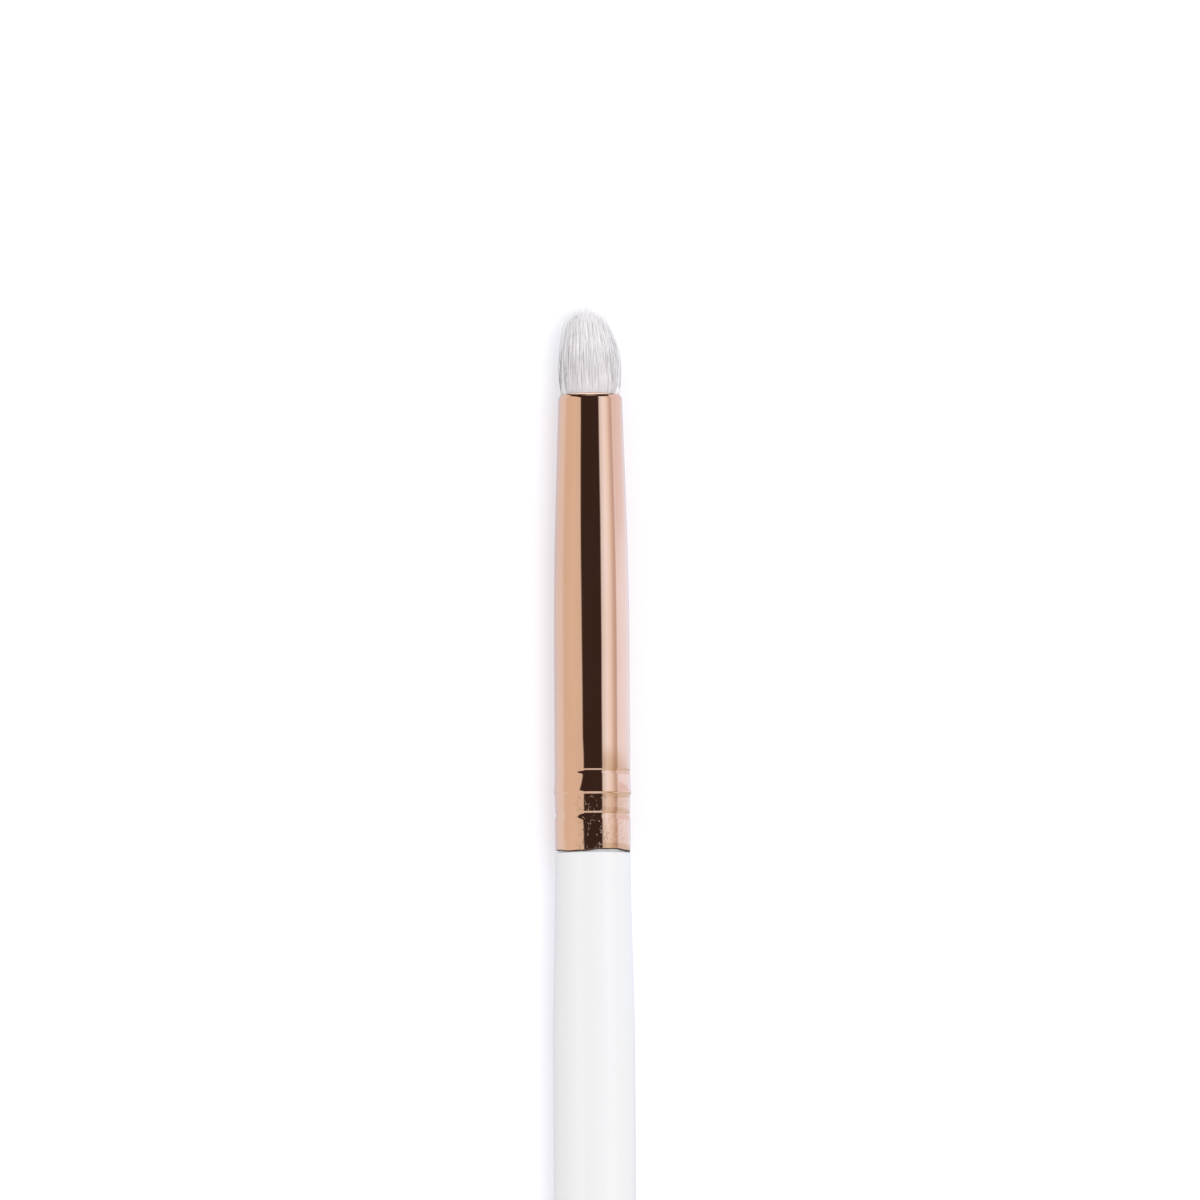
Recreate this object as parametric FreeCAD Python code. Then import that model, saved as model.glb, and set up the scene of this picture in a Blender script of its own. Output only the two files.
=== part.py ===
import FreeCAD, Part

import math
import os

# Bullet-shaped eyeshadow brush, lying along Y with its tuft towards +Y.
# The origin is on the brush's axis at the middle of the grip, where a hand or a stand holds it.
# Lengths are in millimetres. A depth is measured back along the brush from the ferrule's mouth.

# Ferrule: a drawn metal tube, with its diameters measured outside
ferrule_length = 40.0
ferrule_wall = 0.25
mouth_diameter = 5.55
lip_bevel = 0.13
barrel_diameter = 6.58
nose_length = 16.0  # from the mouth to where the cone would meet the barrel
nose_blend = 6.0  # how far the round between cone and barrel runs each way
skirt_diameter = 6.7  # behind the crimp

# Crimp: two rolled grooves, and between them a flare that ends in a step
front_groove_from_rear = 7.0
ridge_from_rear = 5.2
rear_groove_from_rear = 3.3
groove_width = 0.5
groove_depth = 0.1
ridge_height = 0.09
ridge_step = 0.2

# Tuft: a domed head on a shank that is drawn in where it is tied
tuft_free_length = 7.9
tuft_belly_diameter = 5.52
tuft_belly_forward = 1.4  # ahead of the mouth
tuft_cap_diameter = 3.2  # of the ball-shaped cap at the tip
tuft_cap_slope = 43.0  # degrees between the dome and the axis where the cap starts
tuft_clearance = 0.02  # in the ferrule's mouth
shank_length = 17.0
shank_neck_length = 9.0  # straight stretch behind the mouth
shank_taper_length = 2.0
tied_diameter = 4.5

# Binding: one thread wound round the tied shank
thread_diameter = 0.25
thread_sides = 6
thread_pitch = 0.7
thread_turns = 3
thread_clearance = 0.02
thread_from_root = 1.2  # from the last turn to the root's cut end

# Resin plug round the shank
plug_front_depth = 6.0
plug_behind_root = 2.0

# Handle: turned wood, with a glued tenon in the ferrule
air_space = 5.5  # between the resin plug and the tenon
tenon_chamfer = 0.5
glue_film = 0.1
glue_setback = 0.3  # bare rim at the ferrule's rear edge
shoulder_diameter = 6.55
swell_length = 15.0  # from the shoulder to where its cone would meet the grip
swell_blend = 3.0  # how far the round between cone and grip runs each way
grip_diameter = 7.14
grip_length = 14.0
handle_free_length = 122.1
taper_blend = 26.0  # how far the round between the grip and the long taper runs each way
tail_diameter = 4.0  # of the ball-shaped end

overall_length = tuft_free_length + ferrule_length + handle_free_length
plug_rear_depth = shank_length + plug_behind_root
tenon_front_depth = plug_rear_depth + air_space
swell_depth = ferrule_length + swell_length
grip_start_depth = swell_depth + swell_blend
grip_end_depth = grip_start_depth + grip_length
mouth_y = (grip_start_depth + grip_end_depth) / 2
axis_point = FreeCAD.Vector(0, 0, 0)
axis_direction = FreeCAD.Vector(0, 1, 0)


def at(depth, radius):
    """A point of a half section, at a depth behind the mouth and a distance from the axis."""
    return FreeCAD.Vector(radius, mouth_y - depth, 0)


def line(start, end):
    return Part.LineSegment(start, end).toShape()


def arc(start, middle, end):
    return Part.Arc(start, middle, end).toShape()


def round_corner(start, corner, end):
    """The arc that touches both sides of a corner, where start and end are as far from it."""
    chord_middle = (start + end) * 0.5
    flatness = (chord_middle - start).Length / (corner - start).Length
    middle = chord_middle + (corner - chord_middle) * (flatness / (1 + flatness))
    return arc(start, middle, end)


def two_arcs(start, start_run, end, end_run):
    """Two arcs that leave start and reach end in the given directions and meet smoothly."""
    across = end - start
    spread = 2 * (1 - start_run.dot(end_run))
    along = across.dot(start_run + end_run)
    reach = (math.sqrt(along * along + spread * across.dot(across)) - along) / spread
    first_corner = start + start_run * reach
    last_corner = end - end_run * reach
    meeting = (first_corner + last_corner) * 0.5
    return [round_corner(start, first_corner, meeting), round_corner(meeting, last_corner, end)]


def chain(*points):
    """Straight runs from each point to the next."""
    return [line(start, end) for start, end in zip(points, points[1:])]


def turn(edges):
    """The solid that a closed half section makes round the brush's axis."""
    return Part.Face(Part.Wire(edges)).revolve(axis_point, axis_direction, 360)


def ball_end(tip_depth, radius, slope, way):
    """Start, middle and tip of a round end, from where its surface slopes to the axis by slope.

    It points away from the mouth where way is 1, and towards the tuft where way is -1.
    """
    centre_depth = tip_depth - way * radius
    angles = [slope, (slope + math.pi / 2) / 2, math.pi / 2]
    return [at(centre_depth + way * radius * math.sin(a), radius * math.cos(a)) for a in angles]


def slab(front_depth, rear_depth):
    """Everything between two depths, far past the brush's sides."""
    length = rear_depth - front_depth
    return Part.makeCylinder(grip_diameter, length, at(rear_depth, 0), axis_direction)


def groove(depth, front_radius, rear_radius):
    """The front, floor and rear of a rolled groove between two stretches of a tube."""
    return [
        at(depth - groove_width / 2, front_radius),
        at(depth, front_radius - groove_depth),
        at(depth + groove_width / 2, rear_radius),
    ]


def space_inside(inset):
    """The solid bounded by the ferrule's outer surface moved in towards the axis by inset."""
    mouth_radius = mouth_diameter / 2 - inset
    barrel_radius = barrel_diameter / 2 - inset
    skirt_radius = skirt_diameter / 2 - inset
    mouth = at(0, mouth_radius)
    corner = at(nose_length, barrel_radius)
    blend_start = corner + (mouth - corner).normalize() * nose_blend
    blend_end = at(nose_length + nose_blend, barrel_radius)
    front_groove = groove(ferrule_length - front_groove_from_rear, barrel_radius, barrel_radius)
    rear_groove = groove(ferrule_length - rear_groove_from_rear, barrel_radius, skirt_radius)
    ridge_depth = ferrule_length - ridge_from_rear
    crest = at(ridge_depth, barrel_radius + ridge_height)
    step_foot = at(ridge_depth + ridge_step, barrel_radius)
    rear_edge = at(ferrule_length, skirt_radius)
    return turn([
        *chain(at(0, 0), mouth, blend_start),
        round_corner(blend_start, corner, blend_end),
        *chain(blend_end, *front_groove, crest, step_foot, *rear_groove, rear_edge),
        *chain(rear_edge, at(ferrule_length, 0), at(0, 0)),
    ])


def rings_at(shape, depth):
    """The round edges of a shape that lie at one depth."""
    here = mouth_y - depth
    same_place = 1e-4
    boxes = [(edge, edge.BoundBox) for edge in shape.Edges]
    return [edge for edge, box in boxes if abs(box.YMin - here) + abs(box.YMax - here) < same_place]


def make_ferrule(bore):
    tube = space_inside(0).cut(bore)
    outer_lip = max(rings_at(tube, 0), key=lambda edge: edge.Length)
    return tube.makeChamfer(lip_bevel, [outer_lip])


def make_tuft():
    neck_radius = mouth_diameter / 2 - ferrule_wall - tuft_clearance
    belly_radius = tuft_belly_diameter / 2
    tied_radius = tied_diameter / 2
    tie_depth = shank_neck_length + shank_taper_length
    mouth = at(0, neck_radius)
    belly = at(-tuft_belly_forward, belly_radius)
    splay_rise = belly_radius - neck_radius
    splay_reach = (tuft_belly_forward**2 + splay_rise**2) / (2 * tuft_belly_forward)
    splay_corner = at(splay_reach - tuft_belly_forward, belly_radius)
    slope = math.radians(tuft_cap_slope)
    cap_start, cap_middle, tip = ball_end(-tuft_free_length, tuft_cap_diameter / 2, slope, -1)
    cap_run = FreeCAD.Vector(-math.sin(slope), math.cos(slope), 0)
    root = at(shank_length, 0)
    tie_start = at(tie_depth, tied_radius)
    neck_end = at(shank_neck_length, neck_radius)
    return turn([
        *chain(root, at(shank_length, tied_radius), tie_start, neck_end, mouth),
        round_corner(mouth, splay_corner, belly),
        *two_arcs(belly, axis_direction, cap_start, cap_run),
        arc(cap_start, cap_middle, tip),
        line(tip, root),
    ])


winding_length = thread_pitch * thread_turns
winding_rear_depth = shank_length - thread_from_root
winding_front_depth = winding_rear_depth - winding_length
winding_radius = tied_diameter / 2 + thread_clearance + thread_diameter / 2


def on_winding(turns):
    """The thread's centre after so many turns, and the direction in which it runs there."""
    angle = 2 * math.pi * turns
    climb = thread_pitch / (2 * math.pi)
    depth = winding_front_depth + climb * angle
    round_axis = FreeCAD.Vector(math.sin(angle), 0, -math.cos(angle)) * winding_radius
    place = at(depth, 0) + round_axis
    run = FreeCAD.Vector(math.cos(angle) * winding_radius, -climb, math.sin(angle) * winding_radius)
    return place, run.normalize()


def make_thread():
    quarter = 0.25
    stops = [on_winding(i * quarter) for i in range(int(thread_turns / quarter) + 1)]
    path = []
    for (start, start_run), (end, end_run) in zip(stops, stops[1:]):
        path += two_arcs(start, start_run, end, end_run)
    first_place, first_run = stops[0]
    outward = (first_place - at(winding_front_depth, 0)).normalize()
    sideways = first_run.cross(outward)
    corners = []
    for side in range(thread_sides + 1):
        angle = 2 * math.pi * side / thread_sides
        spoke = outward * math.cos(angle) + sideways * math.sin(angle)
        corners.append(first_place + spoke * (thread_diameter / 2))
    section = Part.Wire(chain(*corners))
    return Part.Wire(path).makePipeShell([section], True, False)


def make_plug(bore, tuft):
    room_radius = winding_radius + thread_diameter / 2 + thread_clearance
    room_end = thread_diameter
    room_front = at(winding_rear_depth + room_end, 0)
    room_length = winding_length + 2 * room_end
    thread_room = Part.makeCylinder(room_radius, room_length, room_front, axis_direction)
    plug = bore.common(slab(plug_front_depth, plug_rear_depth))
    return plug.cut(tuft).cut(thread_room)


def make_tenon():
    tenon = space_inside(ferrule_wall + glue_film).common(slab(tenon_front_depth, ferrule_length))
    return tenon.makeChamfer(tenon_chamfer, rings_at(tenon, tenon_front_depth))


def make_tenon_glue(bore, tenon):
    glue_front_depth = tenon_front_depth + tenon_chamfer
    return bore.common(slab(glue_front_depth, ferrule_length - glue_setback)).cut(tenon)


def make_handle(tenon):
    grip_radius = grip_diameter / 2
    tail_radius = tail_diameter / 2
    middle = at(ferrule_length, 0)
    shoulder = at(ferrule_length, shoulder_diameter / 2)
    swell_corner = at(swell_depth, grip_radius)
    swell_start = swell_corner + (shoulder - swell_corner).normalize() * swell_blend
    grip_start = at(grip_start_depth, grip_radius)
    grip_end = at(grip_end_depth, grip_radius)
    # The long taper is a cone that touches the ball-shaped end
    end_depth = ferrule_length + handle_free_length
    taper_depth = grip_end_depth + taper_blend
    to_ball = end_depth - tail_radius - taper_depth
    slope = math.atan2(grip_radius, to_ball) - math.asin(tail_radius / math.hypot(grip_radius, to_ball))
    taper_corner = at(taper_depth, grip_radius)
    ball_start, ball_middle, end = ball_end(end_depth, tail_radius, slope, 1)
    taper_start = taper_corner + (ball_start - taper_corner).normalize() * taper_blend
    body = turn([
        *chain(middle, shoulder, swell_start),
        round_corner(swell_start, swell_corner, grip_start),
        line(grip_start, grip_end),
        round_corner(grip_end, taper_corner, taper_start),
        line(taper_start, ball_start),
        arc(ball_start, ball_middle, end),
        line(end, middle),
    ])
    return body.fuse(tenon).removeSplitter()


def least_thread_gap():
    """The least gap between neighbouring turns, on points half a turn or more apart."""
    steps_per_turn = 24
    count = thread_turns * steps_per_turn + 1
    points = [on_winding(i / steps_per_turn)[0] for i in range(count)]
    half = steps_per_turn // 2
    apart = [(points[j] - points[i]).Length for i in range(count) for j in range(i + half, count)]
    return min(apart) - thread_diameter


bore = space_inside(ferrule_wall)
tuft = make_tuft()
tenon = make_tenon()
pieces = {
    "bristle_tuft": tuft,
    "binding_thread": make_thread(),
    "glue_plug": make_plug(bore, tuft),
    "ferrule": make_ferrule(bore),
    "tenon_glue": make_tenon_glue(bore, tenon),
    "handle": make_handle(tenon),
}

os.makedirs("parts", exist_ok=True)
for name, shape in pieces.items():
    if len(shape.Solids) == 1:
        shape = shape.Solids[0]
    print(name, "solids", len(shape.Solids), "valid", shape.isValid(), "volume", round(shape.Volume, 3))
    shape.exportStep(f"parts/{name}.step")
print("overall length", overall_length, "least gap between thread turns", round(least_thread_gap(), 3))
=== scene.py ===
import math

import bpy
import numpy as np
from mathutils import Matrix, Vector


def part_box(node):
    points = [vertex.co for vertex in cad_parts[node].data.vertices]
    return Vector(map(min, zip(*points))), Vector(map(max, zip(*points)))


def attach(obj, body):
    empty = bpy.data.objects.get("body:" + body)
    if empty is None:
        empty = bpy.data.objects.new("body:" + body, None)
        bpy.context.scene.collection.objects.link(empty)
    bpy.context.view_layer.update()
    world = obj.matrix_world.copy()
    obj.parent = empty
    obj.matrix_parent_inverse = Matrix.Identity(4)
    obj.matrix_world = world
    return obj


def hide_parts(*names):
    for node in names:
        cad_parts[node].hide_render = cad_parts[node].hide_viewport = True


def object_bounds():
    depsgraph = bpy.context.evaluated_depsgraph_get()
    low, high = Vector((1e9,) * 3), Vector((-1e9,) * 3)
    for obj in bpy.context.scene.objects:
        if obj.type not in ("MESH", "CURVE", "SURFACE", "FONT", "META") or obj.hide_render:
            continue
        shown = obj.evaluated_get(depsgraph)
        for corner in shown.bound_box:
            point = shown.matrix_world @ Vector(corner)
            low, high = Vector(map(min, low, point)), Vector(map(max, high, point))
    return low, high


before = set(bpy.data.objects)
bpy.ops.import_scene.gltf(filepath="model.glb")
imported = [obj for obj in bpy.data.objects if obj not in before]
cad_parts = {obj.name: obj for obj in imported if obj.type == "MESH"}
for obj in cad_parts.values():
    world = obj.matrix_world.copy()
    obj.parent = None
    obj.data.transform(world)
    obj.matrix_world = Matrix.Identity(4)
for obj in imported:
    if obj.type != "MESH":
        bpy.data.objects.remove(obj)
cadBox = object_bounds()
mm = 0.001

# The brush lies along Y on the frame's own axis, with its tuft towards +Y
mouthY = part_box("ferrule")[1].y
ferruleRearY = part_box("ferrule")[0].y
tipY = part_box("bristle_tuft")[1].y
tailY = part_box("handle")[0].y
floorZ = cadBox[0][2]
print("frame loaded, mouth at", round(mouthY / mm, 2), "mm, tail at", round(tailY / mm, 2), "mm")


def deselectAll():
    if bpy.context.mode != "OBJECT":
        bpy.ops.object.mode_set(mode="OBJECT")
    bpy.ops.object.select_all(action="DESELECT")


def spread(first, last, count):
    return [first + (last - first) * i / (count - 1) for i in range(count)]


def ease(t):
    # from 0 to 1, slow at both ends
    t = np.clip(t, 0, 1)
    return t * t * (3 - 2 * t)


# Turned pieces: a circle is drawn out ring by ring along the axis, as (y, radius) pairs

def turnPiece(name, rings, sides):
    deselectAll()
    y, radius = rings[0]
    bpy.ops.mesh.primitive_circle_add(
        vertices=sides, radius=radius, location=(0, y, 0), rotation=(math.pi / 2, 0, 0))
    piece = bpy.context.object
    piece.name = name
    piece.data.name = name
    bpy.ops.object.transform_apply(location=True, rotation=True, scale=True)
    bpy.ops.object.mode_set(mode="EDIT")
    bpy.ops.mesh.select_all(action="SELECT")
    for nextY, nextRadius in rings[1:]:
        bpy.ops.mesh.extrude_region_move(TRANSFORM_OT_translate={"value": (0, nextY - y, 0)})
        grow = nextRadius / radius
        bpy.ops.transform.resize(value=(grow, 1, grow), center_override=(0, nextY, 0))
        y, radius = nextY, nextRadius
    return piece


def finishTurned(piece, smoothAngle):
    bpy.ops.object.mode_set(mode="EDIT")
    bpy.ops.mesh.select_all(action="SELECT")
    bpy.ops.mesh.remove_doubles(threshold=1e-7)
    bpy.ops.mesh.normals_make_consistent(inside=False)
    bpy.ops.object.mode_set(mode="OBJECT")
    bpy.ops.object.shade_smooth_by_angle(angle=math.radians(smoothAngle))


# Shader helpers

def newMaterial(name):
    material = bpy.data.materials.new(name)
    material.use_nodes = True
    tree = material.node_tree
    return material, tree, tree.nodes["Principled BSDF"]


def addNode(tree, kind, **settings):
    node = tree.nodes.new(kind)
    for key, value in settings.items():
        setattr(node, key, value)
    return node


def objectPlace(tree):
    return addNode(tree, "ShaderNodeTexCoord").outputs["Object"]


def attributeValue(tree, name):
    return addNode(tree, "ShaderNodeAttribute", attribute_name=name).outputs["Fac"]


def rampFrom(tree, value, stops):
    # stops: (place from 0 to 1, colour)
    ramp = addNode(tree, "ShaderNodeValToRGB")
    elements = ramp.color_ramp.elements
    while len(elements) < len(stops):
        elements.new(1.0)
    for element, (place, colour) in zip(elements, stops):
        element.position = place
        element.color = (*colour, 1)
    tree.links.new(value, ramp.inputs["Fac"])
    return ramp.outputs["Color"]


def noiseOn(tree, coordinate, scale, detail, stretch=(1, 1, 1)):
    mapping = addNode(tree, "ShaderNodeMapping")
    mapping.inputs["Scale"].default_value = stretch
    tree.links.new(coordinate, mapping.inputs["Vector"])
    noise = addNode(tree, "ShaderNodeTexNoise")
    noise.inputs["Scale"].default_value = scale
    noise.inputs["Detail"].default_value = detail
    tree.links.new(mapping.outputs["Vector"], noise.inputs["Vector"])
    return noise.outputs["Fac"]


def mapRange(tree, value, fromLow, fromHigh, toLow, toHigh, smooth=False):
    node = addNode(tree, "ShaderNodeMapRange")
    node.interpolation_type = "SMOOTHSTEP" if smooth else "LINEAR"
    node.inputs["From Min"].default_value = fromLow
    node.inputs["From Max"].default_value = fromHigh
    node.inputs["To Min"].default_value = toLow
    node.inputs["To Max"].default_value = toHigh
    tree.links.new(value, node.inputs["Value"])
    return node.outputs["Result"]


def mathNode(tree, operation, first, second=0.0):
    node = addNode(tree, "ShaderNodeMath", operation=operation)
    for socket, value in zip(node.inputs, (first, second)):
        if isinstance(value, (int, float)):
            socket.default_value = value
        else:
            tree.links.new(value, socket)
    return node.outputs["Value"]


def colourMix(tree, factor, first, second, blend="MIX"):
    node = addNode(tree, "ShaderNodeMix", data_type="RGBA", blend_type=blend)
    tree.links.new(factor, node.inputs["Factor"])
    for key, value in (("A", first), ("B", second)):
        if isinstance(value, tuple):
            node.inputs[key].default_value = (*value, 1)
        else:
            tree.links.new(value, node.inputs[key])
    return node.outputs["Result"]


def bumpFrom(tree, height, strength, distance):
    bump = addNode(tree, "ShaderNodeBump")
    bump.inputs["Strength"].default_value = strength
    bump.inputs["Distance"].default_value = distance
    tree.links.new(height, bump.inputs["Height"])
    return bump


# Ferrule: a drawn tube with a rolled lip, a tapered nose and the crimp near its rear

ferruleSpec = {
    "sides": 160,
    "wall": 0.25 * mm,
    "lipSlope": 19,  # degrees, just behind the rounded edge of the mouth
    "lipSlopeLength": 0.24 * mm,
    "lipBulge": 0.12,  # how much the slope bulges
    "lipHold": 0.05 * mm,  # the last ring of the straight nose, close behind the slope
    "lipRound": (0.28 * mm, 0.18 * mm),  # along and across
    "mouthRadius": 2.775 * mm,
    "barrelRadius": 3.29 * mm,
    "skirtRadius": 3.305 * mm,
    "noseLength": 16 * mm,  # from the mouth to where the cone would meet the barrel
    "noseBlend": 6 * mm,
    "frontGroove": 33.0 * mm,  # depths behind the mouth
    "ridge": 34.8 * mm,
    "ridgeStep": 0.2 * mm,
    "ridgeHeight": 0.09 * mm,
    "flareBend": 2.7,
    "rearGroove": 36.7 * mm,
    "grooveHalf": 0.25 * mm,
    "grooveDip": 0.045 * mm,
    "rearRise": 0.55 * mm,  # from the bottom of the rear groove up to the skirt
    "waistDip": 0.035 * mm,  # how far the wall draws in from the ridge to the rear groove
    "skirtDip": 0.035 * mm,  # and from there to the rear edge
    "skirtRoom": 0.06 * mm,  # how much wider the bore is behind the crimp
    "rearRound": 0.12 * mm,
    "edgeShadePart": 0.75,  # how much of that round is painted dark, as painted shade in the crevice against the handle
    "edgeReach": 0.8 * mm,  # the rear edge wavers, and the wall follows it this far forward
    "edgeWave": 0.085 * mm,
    "edgeWaves": 3,
    "edgeTurn": 1.7,
    "edgeRipples": 11,
    "rippleShare": 0.25,
    "edgeForward": 0.3,
}

roseGoldSpec = {
    "dark": (0.83, 0.555, 0.415),
    "light": (0.85, 0.585, 0.445),
    "cloudScale": 260,
    # painted shade: the colour of the rear cut edge, nearly black like the crevice against the handle
    "edgeShadeColour": (0.09, 0.055, 0.045),
    "cutRoughness": 0.4,
    "markScale": 2600,  # drawing marks, which run along the tube
    "roughness": (0.035, 0.08),
    "waveScale": 330,
    "waveStrength": 0.06,
    "waveHeight": 0.2 * mm,
    "scratchScale": 3600,
    "scratchWidth": 0.06,
    "scratchStrength": 0.4,
    "scratchHeight": 0.015 * mm,
    "scratchFade": 0.4 * mm,
    "patchScale": 1900,  # the scratches come in patches
}


def makeRoseGold():
    spec = roseGoldSpec
    material, tree, shader = newMaterial("roseGold")
    place = objectPlace(tree)
    shader.inputs["Metallic"].default_value = 1.0
    clouds = noiseOn(tree, place, spec["cloudScale"], 3, (1, 0.35, 1))
    tone = rampFrom(tree, clouds, [(0.35, spec["dark"]), (0.65, spec["light"])])
    # the cut edge at the rear is dull, and painted dark as painted shade in the crevice against the handle
    cut = attributeValue(tree, "edgeShade")
    tree.links.new(colourMix(tree, cut, tone, spec["edgeShadeColour"]), shader.inputs["Base Color"])
    marks = noiseOn(tree, place, spec["markScale"], 4, (1, 0.03, 1))
    rough = mapRange(tree, marks, 0.3, 0.75, *spec["roughness"])
    rough = mathNode(tree, "MAXIMUM", rough, mathNode(tree, "MULTIPLY", cut, spec["cutRoughness"]))
    tree.links.new(rough, shader.inputs["Roughness"])
    waves = noiseOn(tree, place, spec["waveScale"], 1, (1, 0.3, 1))
    bump = bumpFrom(tree, waves, spec["waveStrength"], spec["waveHeight"])
    # scratches from the crimping rolls, only behind the ridge
    lines = addNode(tree, "ShaderNodeTexVoronoi", feature="DISTANCE_TO_EDGE")
    lines.inputs["Scale"].default_value = spec["scratchScale"]
    tree.links.new(place, lines.inputs["Vector"])
    scratch = mapRange(tree, lines.outputs["Distance"], 0.0, spec["scratchWidth"], 1, 0)
    broken = mapRange(tree, noiseOn(tree, place, spec["patchScale"], 2), 0.52, 0.62, 0, 1)
    split = addNode(tree, "ShaderNodeSeparateXYZ")
    tree.links.new(place, split.inputs["Vector"])
    ridgeY = mouthY - ferruleSpec["ridge"]
    behind = mapRange(tree, split.outputs["Y"], ridgeY - spec["scratchFade"], ridgeY, 1, 0)
    scratch = mathNode(tree, "MULTIPLY", mathNode(tree, "MULTIPLY", scratch, broken), behind)
    marked = bumpFrom(tree, scratch, spec["scratchStrength"], spec["scratchHeight"])
    tree.links.new(bump.outputs["Normal"], marked.inputs["Normal"])
    tree.links.new(marked.outputs["Normal"], shader.inputs["Normal"])
    return material


def noseRadius(depth):
    spec = ferruleSpec
    blend = spec["noseBlend"]
    slope = (spec["barrelRadius"] - spec["mouthRadius"]) / spec["noseLength"]
    straight = min(depth, spec["noseLength"] - blend)
    past = min(max(depth - (spec["noseLength"] - blend), 0), 2 * blend)
    return spec["mouthRadius"] + slope * (straight + past - past * past / (4 * blend))


def ferruleRadius(depth):
    spec = ferruleSpec
    front = spec["frontGroove"]
    top = spec["ridge"]
    rear = spec["rearGroove"]
    flare = min(max(depth - front, 0) / (top - front), 1)
    ridge = spec["ridgeHeight"] * flare ** spec["flareBend"] * (1 - ease((depth - top) / spec["ridgeStep"]))
    skirt = ease((depth - rear) / spec["rearRise"])
    waist = spec["waistDip"] * min(max((depth - top) / (rear - top), 0), 1)
    past = max(depth - rear, 0) / (mouthY - ferruleRearY - rear)
    radius = noseRadius(depth) + ridge + (spec["skirtRadius"] - spec["barrelRadius"]) * skirt
    radius -= waist * (1 - skirt) + spec["skirtDip"] * past
    frontDip = 1 - ease(abs(depth - front) / spec["grooveHalf"])
    rearDip = (1 - ease((rear - depth) / spec["grooveHalf"])) * (1 - skirt)
    return radius - spec["grooveDip"] * (frontDip + rearDip)


def makeFerrule():
    spec = ferruleSpec
    length = mouthY - ferruleRearY
    half = spec["grooveHalf"]
    slope = math.tan(math.radians(spec["lipSlope"]))
    roundLong, roundAcross = spec["lipRound"]
    startAngle = math.atan(slope * roundLong / roundAcross)
    lipLength = roundLong * (1 - math.sin(startAngle)) + spec["lipSlopeLength"]
    # depths of the outside's rings from the rear to the lip, with how many lead up to each
    stations = [
        (spec["rearGroove"] + spec["rearRise"], 5),
        (spec["rearGroove"], 13),
        (spec["rearGroove"] - half, 8),
        (spec["ridge"] + spec["ridgeStep"], 5),
        (spec["ridge"], 7),
        (spec["frontGroove"] + half, 16),
        (spec["frontGroove"] - half, 13),
        (spec["noseLength"] + spec["noseBlend"], 5),
        (lipLength + spec["lipHold"], 22),
    ]
    depths = [length - spec["rearRound"]]
    for depth, count in stations:
        depths += spread(depths[-1], depth, count)[1:]
    depths.append(lipLength)
    outside = [(mouthY - depth, ferruleRadius(depth)) for depth in depths]
    # the mouth is turned in: a short slope and then a rounded edge
    lip = []
    sloped = noseRadius(lipLength)
    for part in spread(0, 1, 6)[1:]:
        bulge = spec["lipBulge"] * math.sin(math.pi * part) ** 2 * (1 - part)
        drop = slope * spec["lipSlopeLength"] * (part - bulge)
        lip.append((mouthY - lipLength + spec["lipSlopeLength"] * part, sloped - drop))
    sloped -= slope * spec["lipSlopeLength"]
    for angle in spread(startAngle, math.pi / 2, 10)[1:]:
        radius = sloped - roundAcross * (math.cos(startAngle) - math.cos(angle))
        lip.append((mouthY - roundLong * (1 - math.sin(angle)), radius))
    bore = [spec["lipHold"]] + spread(lipLength, spec["rearGroove"], 14)
    inside = [(mouthY - depth, noseRadius(depth) - spec["wall"]) for depth in bore]
    skirtBore = spec["barrelRadius"] - spec["wall"] + spec["skirtRoom"]
    inside += [(mouthY - depth, skirtBore) for depth in (spec["rearGroove"] + half, length)]
    rearEdge = []
    for angle in spread(0, math.pi / 2, 6)[:-1]:
        back = ferruleRearY + spec["rearRound"] * (1 - math.cos(angle))
        radius = ferruleRadius(length) - spec["rearRound"] * (1 - math.sin(angle))
        rearEdge.append((back, radius))
    # once round the wall's section, from the rear edge forward and back through the bore
    piece = turnPiece("ferruleTube", rearEdge + outside + lip + inside + rearEdge[:1], spec["sides"])
    finishTurned(piece, 50)
    # the rear cut edge is marked for its painted shade
    edgeShade = piece.data.attributes.new("edgeShade", "FLOAT", "POINT")
    for vertex in piece.data.vertices:
        ahead = vertex.co.y - ferruleRearY
        edgeShade.data[vertex.index].value = 1 if ahead < spec["edgeShadePart"] * spec["rearRound"] else 0
        angle = math.atan2(vertex.co.x, vertex.co.z)
        wave = 1 - math.cos(spec["edgeWaves"] * angle + spec["edgeTurn"])
        wave += spec["rippleShare"] * math.sin(spec["edgeRipples"] * angle)
        near = ease(1 - ahead / spec["edgeReach"])
        vertex.co.y += spec["edgeWave"] * near * (wave + spec["edgeForward"])
    return piece


ferrule = makeFerrule()
ferrule.data.materials.append(makeRoseGold())
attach(ferrule, "root")
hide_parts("ferrule")
print("ferrule made,", len(ferrule.data.polygons), "faces")


# Handle: turned wood under white lacquer, with its tenon inside the ferrule

handleSpec = {
    "sides": 128,
    "tenonRadius": 2.94 * mm,
    "tenonFront": 24.5 * mm,  # depth behind the mouth
    "tenonChamfer": 0.5 * mm,
    "shoulderRadius": 3.275 * mm,
    "shoulderRound": 0.16 * mm,
    "gripRadius": 3.57 * mm,
    "gripStart": 1 * mm,  # from the shoulder to the first ring of the grip
    "swellLength": 18 * mm,  # from the shoulder to the full grip
    "gripEnd": 32 * mm,
    "taperEase": 52 * mm,
    "tailRadius": 2.0 * mm,
    "poleRadius": 0.05 * mm,
}

lacquerSpec = {
    "dark": (0.836, 0.836, 0.85),
    "light": (0.846, 0.846, 0.858),
    "toneScale": 120,
    "roughness": (0.2, 0.28),
    "roughScale": 300,
    "coat": 0.3,
    "coatRoughness": 0.08,
    "waveScale": 160,
    "waveStrength": 0.01,
    "waveHeight": 0.1 * mm,
}


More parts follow.
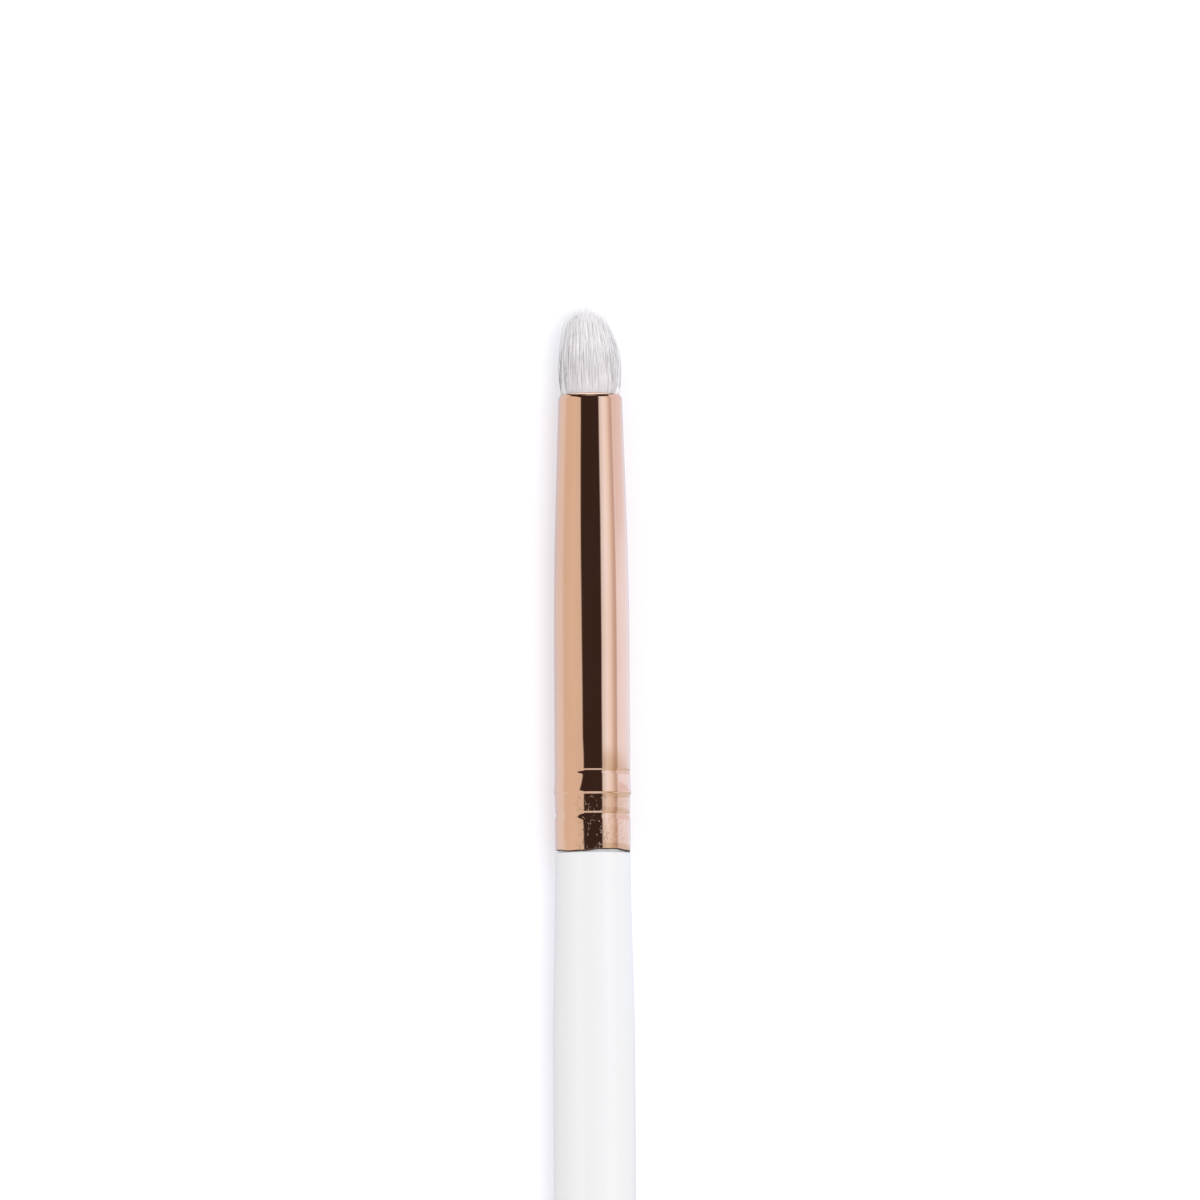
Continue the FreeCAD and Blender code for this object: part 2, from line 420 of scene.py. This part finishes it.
def makeLacquer():
    spec = lacquerSpec
    material, tree, shader = newMaterial("whiteLacquer")
    place = objectPlace(tree)
    clouds = noiseOn(tree, place, spec["toneScale"], 2, (1, 0.2, 1))
    tone = rampFrom(tree, clouds, [(0.3, spec["dark"]), (0.7, spec["light"])])
    tree.links.new(tone, shader.inputs["Base Color"])
    rough = noiseOn(tree, place, spec["roughScale"], 2, (1, 0.3, 1))
    rough = mapRange(tree, rough, 0.3, 0.7, *spec["roughness"])
    tree.links.new(rough, shader.inputs["Roughness"])
    shader.inputs["Coat Weight"].default_value = spec["coat"]
    shader.inputs["Coat Roughness"].default_value = spec["coatRoughness"]
    waves = noiseOn(tree, place, spec["waveScale"], 1, (1, 0.3, 1))
    bump = bumpFrom(tree, waves, spec["waveStrength"], spec["waveHeight"])
    tree.links.new(bump.outputs["Normal"], shader.inputs["Normal"])
    return material


def handleRadius(back):
    # back: how far behind the shoulder
    spec = handleSpec
    swell = (spec["gripRadius"] - spec["shoulderRadius"]) * ease(back / spec["swellLength"])
    taper = spec["taperEase"]
    ballBack = ferruleRearY - tailY - spec["tailRadius"]
    slope = (spec["gripRadius"] - spec["tailRadius"]) / (ballBack - spec["gripEnd"] - taper / 2)
    past = max(back - spec["gripEnd"], 0)
    eased = min(past, taper)
    return spec["shoulderRadius"] + swell - slope * (eased * eased / (2 * taper) + past - eased)


def makeHandle():
    spec = handleSpec
    front = mouthY - spec["tenonFront"]
    rings = [(front, spec["poleRadius"]), (front, spec["tenonRadius"] - spec["tenonChamfer"])]
    rings.append((front - spec["tenonChamfer"], spec["tenonRadius"]))
    rings.append((ferruleRearY, spec["tenonRadius"]))
    for angle in spread(0, math.pi / 2, 7):
        radius = spec["shoulderRadius"] - spec["shoulderRound"] * (1 - math.sin(angle))
        rings.append((ferruleRearY - spec["shoulderRound"] * (1 - math.cos(angle)), radius))
    tail = spec["tailRadius"]
    ballBack = ferruleRearY - tailY - tail
    grip = spread(spec["gripStart"], spec["gripEnd"], 18)
    for back in grip + spread(spec["gripEnd"], ballBack, 26)[1:]:
        rings.append((ferruleRearY - back, handleRadius(back)))
    endAngle = math.acos(spec["poleRadius"] / tail)
    for angle in spread(0, endAngle, 12)[1:]:
        rings.append((tailY + tail * (1 - math.sin(angle)), tail * math.cos(angle)))
    piece = turnPiece("lacqueredHandle", rings, spec["sides"])
    bpy.ops.mesh.merge(type="CENTER")  # the last small ring closes the tail
    finishTurned(piece, 40)
    return piece


handle = makeHandle()
handle.data.materials.append(makeLacquer())
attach(handle, "root")
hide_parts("handle")
print("handle made,", len(handle.data.polygons), "faces")


# Tuft: one filament is modelled and laid along thousands of paths, from the tied root to the dome

tuftSpec = {
    "seed": 5,
    "rootDepth": 17 * mm,
    "tieDepth": 10 * mm,
    "tiedRadius": 2.2 * mm,
    "neckRadius": 2.44 * mm,
    "splayHeight": 0.5 * mm,
    "bellyHeight": 1.0 * mm,
    "bellyRadius": 2.56 * mm,
    "coreTop": 7.3 * mm,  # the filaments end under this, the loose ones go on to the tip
    "domeBend": 2.4,
    "domeRound": 0.56,
    "gatherIn": 0.6,  # how far the outer filaments bend in towards the tip
    "gatherBend": 1.6,
    "gatherUneven": 0.025,
    "rootUneven": 0.005,
    "standBend": 1.2,
    "lean": -0.3 * mm,
    "clumps": 200,
    "clumpTurn": 0.4,
    "lockFrom": 0.6,  # only filaments outside this share of the radius are drawn into a lock
    "freeSteps": [0.06, 0.2, 0.36, 0.52, 0.68, 0.84, 1.0],
    "tipWidth": 0.7,
    "taperBend": 1.5,
    "widths": (0.9, 1.1),
    "together": 0.42,  # how far the filaments' normals follow the dome, so that they shade as one bundle
}

tuftGroups = [
    {"count": 1400, "radius": 0.075 * mm, "taper": 0.45, "from": 0.0, "short": 0.1, "long": 0.0,
     "stand": (0.0, 0.0), "sway": 0.02 * mm, "clump": 0.06, "tone": (0.2, 0.75)},  # packed
    {"count": 700, "radius": 0.062 * mm, "taper": 0.6, "from": 0.86, "short": 0.12, "long": 0.02,
     "stand": (0.0, 0.02), "sway": 0.02 * mm, "clump": 0.02, "tone": (0.2, 0.75)},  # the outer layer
    {"count": 1050, "radius": 0.036 * mm, "taper": 0.75, "from": 0.8, "short": 0.35, "long": 0.1,
     "stand": (0.0, 0.55), "sway": 0.13 * mm, "clump": 0.0, "tone": (0.6, 1.0)},  # loose round the side
    {"count": 300, "radius": 0.03 * mm, "taper": 0.75, "from": 0.0, "short": 0.0, "long": 0.11,
     "stand": (0.0, 0.3), "sway": 0.1 * mm, "clump": 0.0, "tone": (0.6, 1.0)},  # loose at the tip
]

# Locks that stand apart at the mouth: degrees round the axis from +X, over the side that faces up. Their
# filaments are painted lighter, as painted light on locks that stand apart from the bundle.
tuftLocks = [
    {"middle": 157, "half": 14, "top": 2.9 * mm, "draw": 0.5, "paintedLockLight": 0.3},
    {"middle": 16, "half": 15, "top": 2.6 * mm, "draw": 0.4, "paintedLockLight": 0.4},
]

filamentSpec = {
    "tint": [  # from the mouth to the tip: painted shade, darker towards the mouth where the bundle crowds into the ferrule
        (0.0, (0.615, 0.59, 0.60)),
        (0.22, (0.75, 0.725, 0.735)),
        (0.55, (0.985, 0.965, 0.97)),
        (1.0, (0.99, 0.98, 0.99)),
    ],
    "shade": [  # from filament to filament: tone that differs at random, and the loose filaments lean lavender as painted shade
        (0.0, (0.96, 0.95, 0.955)),
        (0.45, (1, 0.995, 1)),
        (0.75, (1, 0.985, 0.985)),
        (1.0, (0.97, 0.97, 1)),
    ],
    "roughness": 0.5,
}


def makeFilament():
    spec = filamentSpec
    material, tree, shader = newMaterial("whiteFilament")
    mix = addNode(tree, "ShaderNodeMix", data_type="RGBA", blend_type="MULTIPLY")
    mix.inputs["Factor"].default_value = 1.0
    tree.links.new(rampFrom(tree, attributeValue(tree, "along"), spec["tint"]), mix.inputs["A"])
    tree.links.new(rampFrom(tree, attributeValue(tree, "tone"), spec["shade"]), mix.inputs["B"])
    tree.links.new(mix.outputs["Result"], shader.inputs["Base Color"])
    shader.inputs["Roughness"].default_value = spec["roughness"]
    return material


def modelFilament(name, rings):
    # a three-sided hair, drawn out ring by ring
    deselectAll()
    bpy.ops.mesh.primitive_circle_add(vertices=3, radius=1, fill_type="NGON")
    hair = bpy.context.object
    hair.name = name
    bpy.ops.object.mode_set(mode="EDIT")
    bpy.ops.mesh.select_all(action="SELECT")
    for i in range(1, rings):
        bpy.ops.mesh.extrude_region_move(TRANSFORM_OT_translate={"value": (0, 0, 1)})
    tip = tuftSpec["tipWidth"]
    bpy.ops.transform.resize(value=(tip, tip, 1), center_override=(0, 0, rings - 1))
    bpy.ops.mesh.select_all(action="SELECT")
    bpy.ops.mesh.normals_make_consistent(inside=False)
    bpy.ops.object.mode_set(mode="OBJECT")
    return hair


def upDome(height):
    spec = tuftSpec
    return np.clip((height - spec["bellyHeight"]) / (spec["coreTop"] - spec["bellyHeight"]), 0, 1)


def domeRadius(height):
    return tuftSpec["bellyRadius"] * (1 - upDome(height) ** tuftSpec["domeBend"]) ** tuftSpec["domeRound"]


def filamentRadius(share, height, gather):
    # distance from the axis of a filament whose root is at this share of the bundle's radius
    spec = tuftSpec
    splay = (spec["bellyRadius"] - spec["neckRadius"]) * ease(height / spec["splayHeight"])
    return share * (spec["neckRadius"] + splay) * (1 - gather * upDome(height) ** spec["gatherBend"])


def onDisc(count, fromShare, turn=0.0):
    # evenly spread points over a disc or ring: share of the radius, and angle
    order = np.arange(count) + 0.5
    share = np.sqrt(fromShare ** 2 + (1 - fromShare ** 2) * order / count)
    return share, order * math.pi * (3 - math.sqrt(5)) + turn


def flatPlace(share, angle):
    return np.stack([share * np.cos(angle), share * np.sin(angle)], 1)


def filamentPaths(group, rng):
    spec = tuftSpec
    count = group["count"]
    share, angle = onDisc(count, group["from"])
    share = np.clip(share + rng.normal(0, spec["rootUneven"], count), 0.01, 1)
    gather = spec["gatherIn"] + rng.normal(0, spec["gatherUneven"], count)
    # each filament ends where it meets the dome, a little unevenly
    heights = np.linspace(0, spec["coreTop"], 240)
    inside = filamentRadius(share[:, None], heights, gather[:, None]) < domeRadius(heights)
    reach = heights[np.argmin(inside | (heights < spec["bellyHeight"]), axis=1)]
    reach = np.where(reach > 0, reach, spec["coreTop"])
    reach = reach * rng.uniform(1 - group["short"], 1 + group["long"], count)
    rootAt = flatPlace(share, angle)
    clumpAt = flatPlace(*onDisc(spec["clumps"], 0.0, spec["clumpTurn"]))
    nearest = np.argmin(((rootAt[:, None] - clumpAt[None]) ** 2).sum(2), axis=1)
    towards = (clumpAt[nearest] - rootAt) * spec["bellyRadius"] * group["clump"]
    sway = rng.normal(0, group["sway"], (count, 2))
    stand = rng.uniform(*group["stand"], count)
    # the locks: how far each filament is drawn aside, and how much lighter it is painted, as painted light
    paintedLockLight = np.zeros(count)
    drawn = []
    for lock in tuftLocks:
        off = (angle - math.radians(lock["middle"]) + math.pi) % (2 * math.pi) - math.pi
        part = np.abs(off) / math.radians(lock["half"])
        outer = share > spec["lockFrom"]
        paintedLockLight += lock["paintedLockLight"] * ease(2 - 2 * part) * outer
        drawn.append(np.where((part < 1) & outer, off * lock["draw"], 0))
    points = []
    for depth in (spec["rootDepth"], spec["tieDepth"], 0):
        flat = rootAt * (spec["tiedRadius"] if depth >= spec["tieDepth"] else spec["neckRadius"])
        points.append(np.column_stack([flat[:, 0], np.full(count, mouthY - depth), flat[:, 1]]))
    for step in spec["freeSteps"]:
        height = reach * step
        up = height / spec["coreTop"]
        radius = filamentRadius(share, height, gather) * (1 + stand * up ** spec["standBend"])
        turn = angle
        for lock, aside in zip(tuftLocks, drawn):
            turn = turn - aside * np.sin(math.pi * np.clip(height / lock["top"], 0, 1))
        flat = flatPlace(radius, turn) + towards * up[:, None] ** spec["standBend"] + sway * step ** 2
        flat[:, 0] += spec["lean"] * up ** 2
        points.append(np.column_stack([flat[:, 0], mouthY + height, flat[:, 1]]))
    return np.stack(points, 1), paintedLockLight


def unit(ways):
    return ways / np.linalg.norm(ways, axis=1, keepdims=True)


def bundleNormals(places, sideways):
    # between each filament's own sideways normal and that of the whole dome
    spec = tuftSpec
    across = spec["bellyRadius"] ** 2
    tall = (spec["coreTop"] - spec["bellyHeight"]) ** 2
    forward = np.maximum(places[:, 1] - mouthY - spec["bellyHeight"], 0) / tall
    dome = unit(np.column_stack([places[:, 0] / across, forward, places[:, 2] / across]))
    return unit(spec["together"] * dome + (1 - spec["together"]) * unit(sideways))


def makeTuft():
    spec = tuftSpec
    rings = 3 + len(spec["freeSteps"])
    hair = modelFilament("oneFilament", rings)
    hairAt = np.array([vertex.co for vertex in hair.data.vertices])
    hairFaces = np.array([list(face.vertices) for face in hair.data.polygons if len(face.vertices) == 4])
    hairEnds = np.array([list(face.vertices) for face in hair.data.polygons if len(face.vertices) == 3])
    ringOf = np.rint(hairAt[:, 2]).astype(int)
    free = np.clip((ringOf - 2) / (rings - 3), 0, 1)
    rng = np.random.default_rng(spec["seed"])
    places, tones, sideways, paintedLockLights = [], [], [], []
    for group in tuftGroups:
        paths, paintedLockLight = filamentPaths(group, rng)
        width = group["radius"] * rng.uniform(*spec["widths"], len(paths))
        slim = width[:, None] * (1 - group["taper"] * free ** spec["taperBend"])
        hairs = paths[:, ringOf, :].copy()
        hairs[:, :, 0] += hairAt[:, 0] * slim
        hairs[:, :, 2] += hairAt[:, 1] * slim
        places.append(hairs.reshape(-1, 3))
        sideways.append(np.tile(hairAt[:, [0, 2, 1]] * (1, 0, 1), (len(paths), 1)))
        paintedLockLights.append(np.repeat(paintedLockLight, len(hairAt)))
        tones.append(np.repeat(rng.uniform(*group["tone"], len(paths)), len(hairAt)))
    places = np.concatenate(places)
    tones = np.concatenate(tones)
    starts = np.arange(0, len(places), len(hairAt))
    # the hair stood along Z and now lies along Y, so its faces are turned over
    faces = (hairFaces[None, :, ::-1] + starts[:, None, None]).reshape(-1, 4).tolist()
    faces += (hairEnds[None, :, ::-1] + starts[:, None, None]).reshape(-1, 3).tolist()
    mesh = bpy.data.meshes.new("filamentTuft")
    mesh.from_pydata(places.tolist(), [], faces)
    # painted shade: through the tint, the filaments are painted darker towards the mouth
    along = np.clip((places[:, 1] - mouthY) / (tipY - mouthY), 0, 1)
    # painted light: the locks are lifted towards the light end of the tint
    along = along + (1 - along) * np.concatenate(paintedLockLights)
    mesh.attributes.new("along", "FLOAT", "POINT").data.foreach_set("value", along.astype(np.float32))
    mesh.attributes.new("tone", "FLOAT", "POINT").data.foreach_set("value", tones.astype(np.float32))
    mesh.shade_smooth()
    normals = bundleNormals(places, np.concatenate(sideways))
    mesh.normals_split_custom_set_from_vertices(normals.tolist())
    bpy.data.objects.remove(hair)
    piece = bpy.data.objects.new("filamentTuft", mesh)
    bpy.context.collection.objects.link(piece)
    return piece


tuft = makeTuft()
tuft.data.materials.append(makeFilament())
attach(tuft, "root")
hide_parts("bristle_tuft")
print("tuft made,", len(tuft.data.polygons), "faces")


# Hidden pieces keep their solids and get their own finishes

resinSpec = {
    "name": "amberResin",
    "dark": (0.46, 0.27, 0.08),
    "light": (0.62, 0.41, 0.16),
    "toneScale": 500,
    "roughness": 0.22,
    "grain": (1400, 2),  # scale and detail
    "grainStrength": 0.2,
    "grainHeight": 0.1 * mm,
}

glueSpec = {
    "name": "woodGlue",
    "dark": (0.58, 0.47, 0.27),
    "light": (0.68, 0.58, 0.38),
    "toneScale": 700,
    "roughness": 0.6,
    "grain": (2200, 3),
    "grainStrength": 0.3,
    "grainHeight": 0.05 * mm,
}

threadSpec = {
    "dark": (0.46, 0.41, 0.30),
    "light": (0.62, 0.57, 0.45),
    "twistScale": 2600,
    "twistUneven": 1.5,
    "roughness": 0.7,
    "twistStrength": 0.5,
    "twistHeight": 0.03 * mm,
}


def makeCured(spec):
    material, tree, shader = newMaterial(spec["name"])
    place = objectPlace(tree)
    clouds = noiseOn(tree, place, spec["toneScale"], 4)
    tone = rampFrom(tree, clouds, [(0.3, spec["dark"]), (0.7, spec["light"])])
    tree.links.new(tone, shader.inputs["Base Color"])
    shader.inputs["Roughness"].default_value = spec["roughness"]
    grain = noiseOn(tree, place, *spec["grain"])
    bump = bumpFrom(tree, grain, spec["grainStrength"], spec["grainHeight"])
    tree.links.new(bump.outputs["Normal"], shader.inputs["Normal"])
    return material


def makeThread():
    spec = threadSpec
    material, tree, shader = newMaterial("waxedThread")
    twist = addNode(tree, "ShaderNodeTexWave", wave_type="BANDS", bands_direction="DIAGONAL")
    twist.inputs["Scale"].default_value = spec["twistScale"]
    twist.inputs["Distortion"].default_value = spec["twistUneven"]
    tree.links.new(objectPlace(tree), twist.inputs["Vector"])
    tone = rampFrom(tree, twist.outputs["Fac"], [(0.2, spec["dark"]), (0.8, spec["light"])])
    tree.links.new(tone, shader.inputs["Base Color"])
    shader.inputs["Roughness"].default_value = spec["roughness"]
    bump = bumpFrom(tree, twist.outputs["Fac"], spec["twistStrength"], spec["twistHeight"])
    tree.links.new(bump.outputs["Normal"], shader.inputs["Normal"])
    return material


hiddenFinishes = {
    "binding_thread": makeThread(),
    "glue_plug": makeCured(resinSpec),
    "tenon_glue": makeCured(glueSpec),
}
for nodeName, finish in hiddenFinishes.items():
    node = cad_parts[nodeName]
    node.data.materials.clear()
    node.data.materials.append(finish)
print("hidden pieces finished")


# Floor, light tent, lamps and camera

floorSpec = {
    "size": 4.0,
    "paper": (0.75, 0.75, 0.75),
    "glow": (0.89, 0.88, 1.0),
    "glowSeen": 0.35,  # towards the camera
    "glowCast": 0.14,  # on the brush
}

tentSpec = {
    "gapLeft": -27,  # the dark gap overhead, in degrees round the brush
    "gapRight": 30.5,
    "gapRear": -18,  # and in degrees along it
    "gapFront": 48,
    "gapLean": -0.85,  # its left edge moves out by this for each degree towards the tuft
    "gapSpread": 33.5,  # past this, along the brush, it opens wide to both sides
    "gapOpens": 14,
    "gapSoft": 2.5,
    "gapColour": (0.045, 0.028, 0.024),
    "frontPanel": (1.4, 1.45, 1.45),  # beyond the gap's front end
    "frontFade": (-2, 5),
    "domeLeft": 0.85,
    "domeRight": 0.77,
}

# Panels and table round the brush, by degrees: warm at the left, cool at the right
tentPanels = [
    (-180, (0.58, 0.60, 0.70)),
    (-132, (0.84, 0.84, 0.92)),
    (-106, (0.88, 0.86, 0.86)),
    (-92, (0.79, 0.70, 0.62)),
    (-80, (0.80, 0.70, 0.60)),
    (-60, (0.83, 0.73, 0.63)),
    (-38, (0.78, 0.70, 0.62)),
    (30, (0.78, 0.82, 0.88)),
    (47, (1.03, 1.13, 1.30)),
    (60, (0.97, 0.97, 0.99)),
    (73, (0.68, 0.60, 0.58)),
    (81, (0.65, 0.56, 0.54)),
    (85, (0.96, 1.03, 1.22)),
    (110, (1.0, 1.10, 1.34)),
    (150, (0.97, 1.10, 1.35)),
    (180, (0.58, 0.60, 0.70)),
]

# Warmer patches on them, in degrees along and round the brush: the right panel behind the ridge,
# and the table at the right of the nose
warmPatches = [
    {"along": (-1, 2.5), "fade": (1, 0), "around": (28, 34), "tint": (0.78, 0.70, 0.57)},
    {"along": (5, 7.5), "fade": (0, 1), "around": (82, 90), "tint": (0.89, 0.78, 0.72)},
]

lampSpec = {
    "keyAt": (0.20, -0.02, 0.72),
    "keySize": 0.3,
    "keyPower": 1.75,
    "fillAt": (0.12, 0.16, 0.6),
    "fillSize": 1.2,
    "fillPower": 2.9,
}

cameraSpec = {
    "distance": 640 * mm,
    "frameWidth": 104.8 * mm,  # what the picture spans at the brush
    "aimBehindMouth": 17.95 * mm,
    "aimSide": 0.75 * mm,
    "tilt": 4.0,  # degrees from straight above, from the handle's side
    "roll": 0.35,
    "sensor": 36,
}


def makeFloor():
    spec = floorSpec
    deselectAll()
    bpy.ops.mesh.primitive_plane_add(size=spec["size"], location=(0, 0, floorZ))
    floor = bpy.context.object
    floor.name = "studioFloor"
    bpy.ops.object.transform_apply(location=True, rotation=True, scale=True)
    material = bpy.data.materials.new("whiteFloor")
    material.use_nodes = True
    tree = material.node_tree
    tree.nodes.clear()
    paper = addNode(tree, "ShaderNodeBsdfDiffuse")
    paper.inputs["Color"].default_value = (*spec["paper"], 1)
    glow = addNode(tree, "ShaderNodeEmission")
    glow.inputs["Color"].default_value = (*spec["glow"], 1)
    rays = addNode(tree, "ShaderNodeLightPath")
    level = mapRange(tree, rays.outputs["Is Camera Ray"], 0, 1, spec["glowCast"], spec["glowSeen"])
    tree.links.new(level, glow.inputs["Strength"])
    both = addNode(tree, "ShaderNodeAddShader")
    tree.links.new(paper.outputs["BSDF"], both.inputs[0])
    tree.links.new(glow.outputs["Emission"], both.inputs[1])
    output = addNode(tree, "ShaderNodeOutputMaterial")
    tree.links.new(both.outputs["Shader"], output.inputs["Surface"])
    floor.data.materials.append(material)
    floor.visible_glossy = False  # the tent's own lower half is what the metal mirrors


def makeTent():
    spec = tentSpec
    world = bpy.data.worlds.new("lightTent")
    bpy.context.scene.world = world
    world.use_nodes = True
    tree = world.node_tree
    background = tree.nodes["Background"]
    way = addNode(tree, "ShaderNodeSeparateXYZ")
    tree.links.new(addNode(tree, "ShaderNodeTexCoord").outputs["Generated"], way.inputs["Vector"])
    around = mathNode(tree, "DEGREES", mathNode(tree, "ARCTAN2", way.outputs["X"], way.outputs["Z"]))
    along = mathNode(tree, "DEGREES", mathNode(tree, "ARCSINE", way.outputs["Y"]))
    stops = [(0.5 + degrees / 360, colour) for degrees, colour in tentPanels]
    tent = rampFrom(tree, mapRange(tree, around, -180, 180, 0, 1), stops)
    for patch in warmPatches:
        reach = mapRange(tree, along, *patch["along"], *patch["fade"], smooth=True)
        warm = mathNode(tree, "MULTIPLY", reach, mapRange(tree, around, *patch["around"], 0, 1))
        tent = colourMix(tree, warm, tent, patch["tint"], "MULTIPLY")
    # the gap widens to the left towards the tuft, and to both sides near its end
    ahead = mathNode(tree, "MAXIMUM", along, 0)
    farAhead = mathNode(tree, "MAXIMUM", mathNode(tree, "SUBTRACT", along, spec["gapSpread"]), 0)
    widen = mathNode(tree, "MULTIPLY", farAhead, spec["gapOpens"])
    leftEdge = mathNode(tree, "SUBTRACT", mathNode(tree, "MULTIPLY", ahead, spec["gapLean"]), widen)
    leftEdge = mathNode(tree, "ADD", leftEdge, spec["gapLeft"])
    rightEdge = mathNode(tree, "ADD", widen, spec["gapRight"])
    soft = spec["gapSoft"]
    dark = mapRange(tree, mathNode(tree, "SUBTRACT", around, leftEdge), -soft, soft, 0, 1, smooth=True)
    otherEdges = [
        mathNode(tree, "SUBTRACT", rightEdge, around),
        mathNode(tree, "SUBTRACT", along, spec["gapRear"]),
        mathNode(tree, "SUBTRACT", spec["gapFront"], along),
    ]
    for edge in otherEdges:
        dark = mathNode(tree, "MULTIPLY", dark, mapRange(tree, edge, -soft, soft, 0, 1, smooth=True))
    tent = colourMix(tree, dark, tent, spec["gapColour"])
    fadeStart, fadeEnd = [spec["gapFront"] + degrees for degrees in spec["frontFade"]]
    beyond = mapRange(tree, along, fadeStart, fadeEnd, 0, 1, smooth=True)
    tent = colourMix(tree, beyond, tent, spec["frontPanel"])
    # matt surfaces get an even dome instead, a little brighter from the left
    dome = addNode(tree, "ShaderNodeCombineColor")
    level = mapRange(tree, way.outputs["X"], -1, 1, spec["domeLeft"], spec["domeRight"])
    for key in ("Red", "Green", "Blue"):
        tree.links.new(level, dome.inputs[key])
    rays = addNode(tree, "ShaderNodeLightPath")
    light = colourMix(tree, rays.outputs["Is Glossy Ray"], dome.outputs["Color"], tent)
    seen = colourMix(tree, rays.outputs["Is Camera Ray"], light, (1.0, 1.0, 1.0))  # plain white
    tree.links.new(seen, background.inputs["Color"])
    background.inputs["Strength"].default_value = 1.0


def makeLamp(name, place, size, power):
    light = bpy.data.lights.new(name, "AREA")
    light.shape = "SQUARE"
    light.size = size
    light.energy = power
    lamp = bpy.data.objects.new(name, light)
    bpy.context.collection.objects.link(lamp)
    lamp.location = place
    lamp.rotation_euler = (-Vector(place)).to_track_quat("-Z", "Y").to_euler()
    lamp.visible_glossy = False
    lamp.visible_camera = False
    return lamp


def makeLamps():
    spec = lampSpec
    makeLamp("softKey", spec["keyAt"], spec["keySize"], spec["keyPower"])
    # a fill on the tuft alone, for the light that white filaments pass on to one another
    fill = makeLamp("tuftFill", spec["fillAt"], spec["fillSize"], spec["fillPower"])
    lit = bpy.data.collections.new("tuftFillLights")
    lit.objects.link(tuft)
    fill.light_linking.receiver_collection = lit


def makeCamera():
    spec = cameraSpec
    data = bpy.data.cameras.new("camera")
    data.sensor_width = spec["sensor"]
    data.lens = data.sensor_width * spec["distance"] / spec["frameWidth"]
    data.clip_start = 0.01
    camera = bpy.data.objects.new("camera", data)
    bpy.context.collection.objects.link(camera)
    aim = Vector((spec["aimSide"], mouthY - spec["aimBehindMouth"], 0))
    tilt = math.radians(spec["tilt"])
    back = Vector((0, -math.sin(tilt), math.cos(tilt)))
    turn = Matrix.Rotation(tilt, 4, "X") @ Matrix.Rotation(-math.radians(spec["roll"]), 4, "Z")
    camera.matrix_world = Matrix.Translation(aim + back * spec["distance"]) @ turn
    bpy.context.scene.camera = camera


makeFloor()
makeTent()
makeLamps()
makeCamera()
bpy.context.scene.view_settings.view_transform = "Standard"
print("stage, light and camera set")
